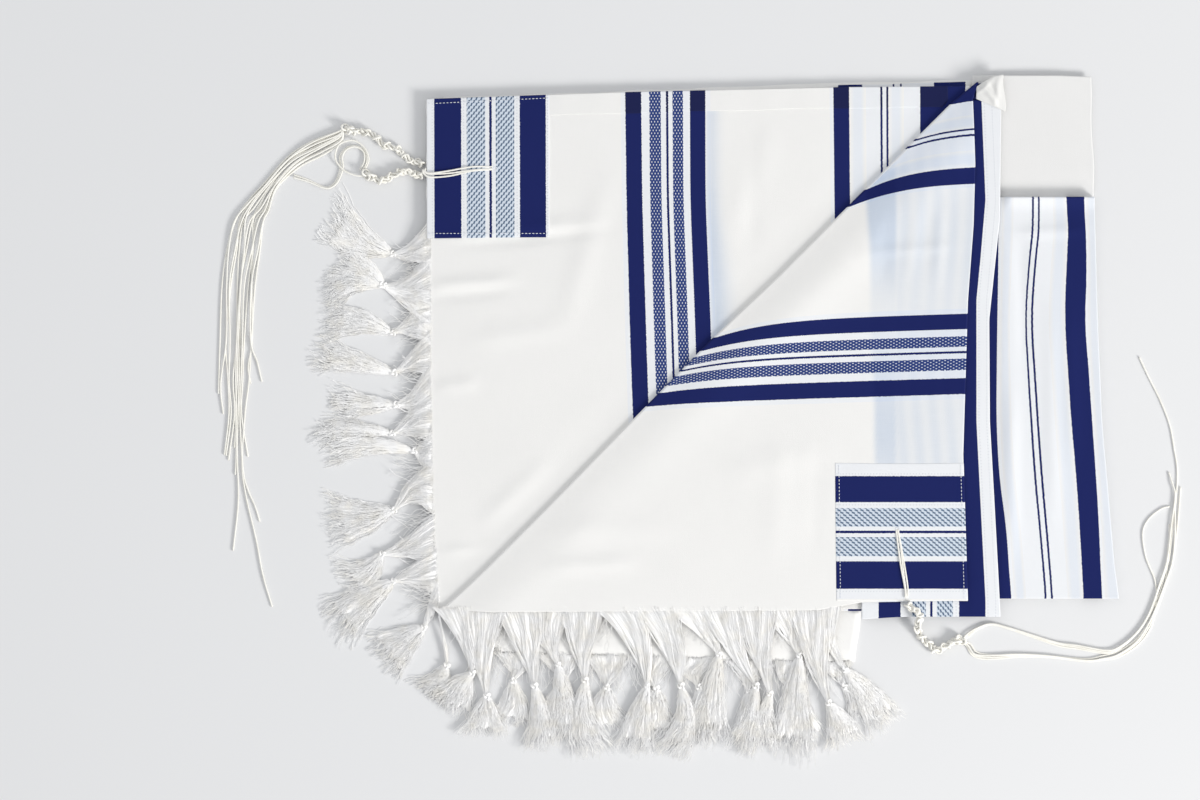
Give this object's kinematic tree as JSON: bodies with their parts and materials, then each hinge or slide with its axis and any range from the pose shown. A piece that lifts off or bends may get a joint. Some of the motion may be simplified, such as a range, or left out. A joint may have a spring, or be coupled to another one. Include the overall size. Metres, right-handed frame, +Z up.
{
  "type": "folded tallit prayer shawl",
  "caption": "Striped woven shawl folded flat, one corner turned back on a diagonal, with knotted fringes, ribbon corner patches, a neck band and knotted corner strings.",
  "frame": {"origin": "on the surface, under the middle of the folded cloth and its fringes", "axes": "+X along the lower half from its fringed end, +Y towards its long selvage, +Z up from the surface"},
  "size_m": [0.8558, 0.612, 0.0172],
  "materials": {
    "cloth": "plain-woven warm white cloth with navy stripes",
    "ribbon": "woven navy and white patterned ribbon, slight sheen",
    "fringe": "loose white warp threads, knotted",
    "corner_string": "twisted cream wool string"
  },
  "bodies": {
    "root": {"hidden_layers": "cloth", "plain_panel": "cloth", "lower_half": "cloth", "lower_selvage_hem": "cloth", "striped_panel": "cloth", "turned_corner": "cloth", "turned_selvage_hem": "cloth", "crumpled_corner": "cloth", "lower_corner_patch": "ribbon", "neck_band": "ribbon", "turned_corner_patch": "ribbon", "fringe_lower_end": "fringe", "fringe_hidden_end": "fringe", "fringe_turned_end": "fringe", "tzitzit_lower_hole_strands": "corner_string", "tzitzit_lower_knots": "corner_string", "tzitzit_lower_second_knots": "corner_string", "tzitzit_lower_ring": "corner_string", "tzitzit_lower_strands_1": "corner_string", "tzitzit_lower_strands_2": "corner_string", "tzitzit_lower_strands_3": "corner_string", "tzitzit_lower_strands_4": "corner_string", "tzitzit_turned_hole_strands": "corner_string", "tzitzit_turned_knots": "corner_string", "tzitzit_turned_strands_1": "corner_string", "tzitzit_turned_strands_2": "corner_string", "tzitzit_turned_strands_3": "corner_string"}
  },
  "joints": []
}
